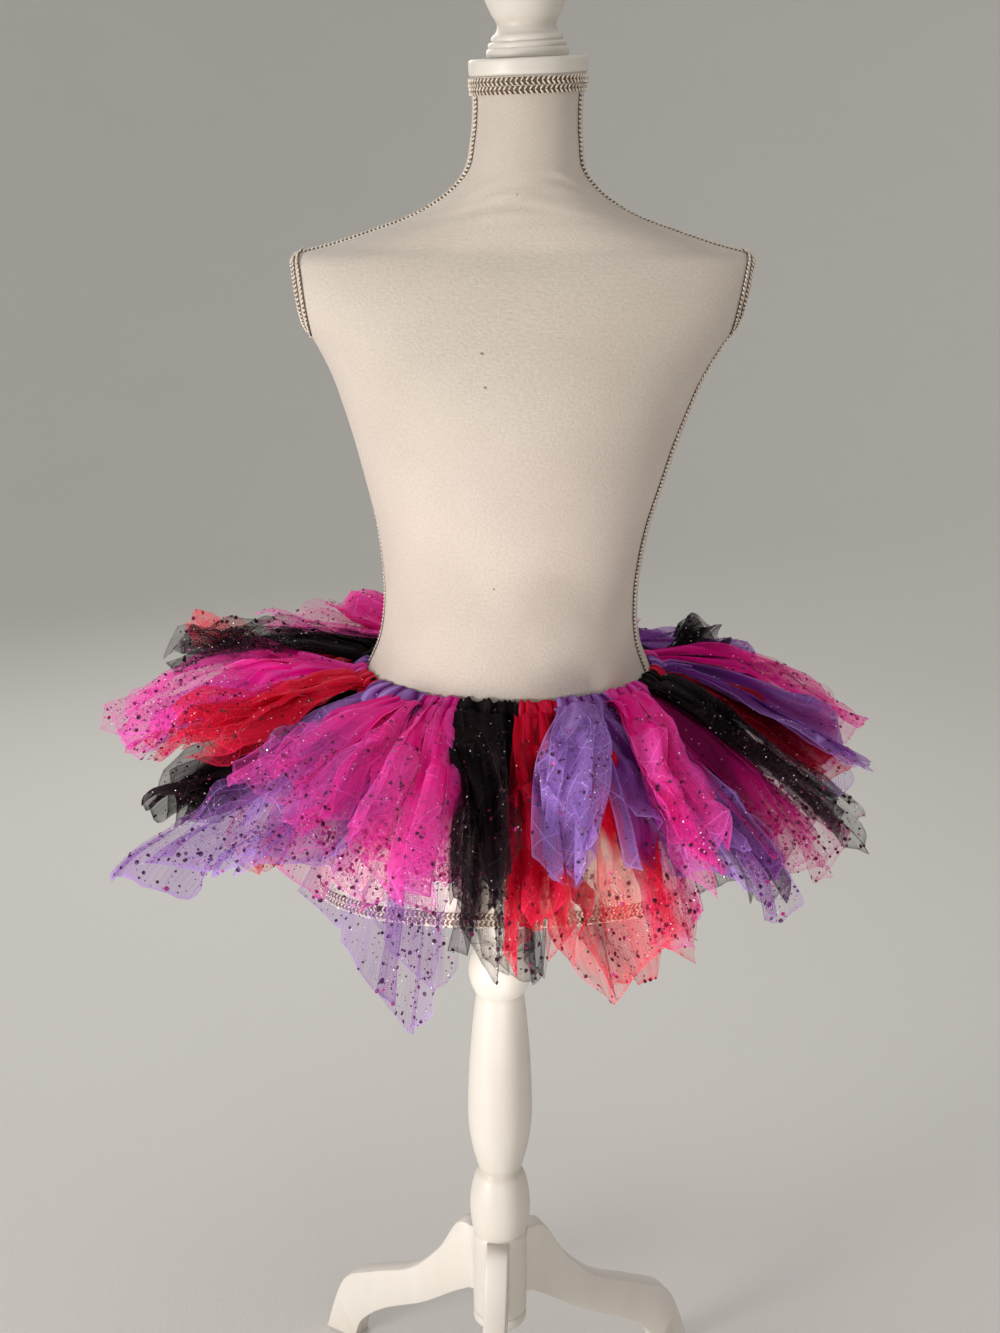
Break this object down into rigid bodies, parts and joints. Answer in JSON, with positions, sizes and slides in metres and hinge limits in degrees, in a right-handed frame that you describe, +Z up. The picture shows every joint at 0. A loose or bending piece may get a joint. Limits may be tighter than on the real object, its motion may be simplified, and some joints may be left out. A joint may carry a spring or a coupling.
{
  "type": "ballet tutu on a limbless dress form",
  "caption": "Tulle-strip tutu knotted on an elastic waistband, resting on the waist of a limbless dress form with a turned post and scrolled tripod feet.",
  "frame": {"origin": "middle of the part's box, on the floor that the feet stand on", "axes": "+Z up along the post; -Y is the front of the form and of the skirt; +X is the form's left-hand side, on the viewer's right"},
  "size_m": [0.7157, 0.6005, 1.4094],
  "materials": {
    "cover_cloth": "plain woven cream cloth",
    "white_paint": "wood painted satin off-white",
    "elastic": "black woven elastic",
    "tulle_pink": "sheer hot-pink tulle with glued glitter",
    "tulle_purple": "sheer purple tulle with glued glitter",
    "tulle_red": "sheer red tulle with glued glitter",
    "tulle_black": "sheer black tulle with glued glitter"
  },
  "bodies": {
    "root": {"form_torso": "cover_cloth", "neck_cap": "white_paint", "neck_finial": "white_paint", "stand_post": "white_paint", "stand_hub": "white_paint", "foot_front": "white_paint", "foot_right": "white_paint", "foot_left": "white_paint", "waistband": "elastic", "strip_01_purple": "tulle_purple", "strip_02_purple": "tulle_purple", "strip_03_pink": "tulle_pink", "strip_04_black": "tulle_black", "strip_05_red": "tulle_red", "strip_06_purple": "tulle_purple", "strip_07_pink": "tulle_pink", "strip_08_pink": "tulle_pink", "strip_09_black": "tulle_black", "strip_10_red": "tulle_red", "strip_11_purple": "tulle_purple", "strip_12_pink": "tulle_pink", "strip_13_pink": "tulle_pink", "strip_14_red": "tulle_red", "strip_15_pink": "tulle_pink", "strip_16_black": "tulle_black", "strip_17_red": "tulle_red", "strip_18_black": "tulle_black", "strip_19_purple": "tulle_purple", "strip_20_pink": "tulle_pink", "strip_21_red": "tulle_red", "strip_22_black": "tulle_black", "strip_23_red": "tulle_red", "strip_24_purple": "tulle_purple", "strip_25_pink": "tulle_pink", "strip_26_pink": "tulle_pink", "strip_27_pink": "tulle_pink", "strip_28_purple": "tulle_purple", "strip_29_black": "tulle_black", "strip_30_black": "tulle_black", "strip_31_red": "tulle_red", "strip_32_red": "tulle_red", "strip_33_purple": "tulle_purple", "strip_34_pink": "tulle_pink", "strip_35_purple": "tulle_purple", "strip_36_pink": "tulle_pink", "strip_37_black": "tulle_black", "strip_38_pink": "tulle_pink", "strip_39_pink": "tulle_pink", "strip_40_black": "tulle_black", "strip_41_red": "tulle_red"}
  },
  "joints": []
}
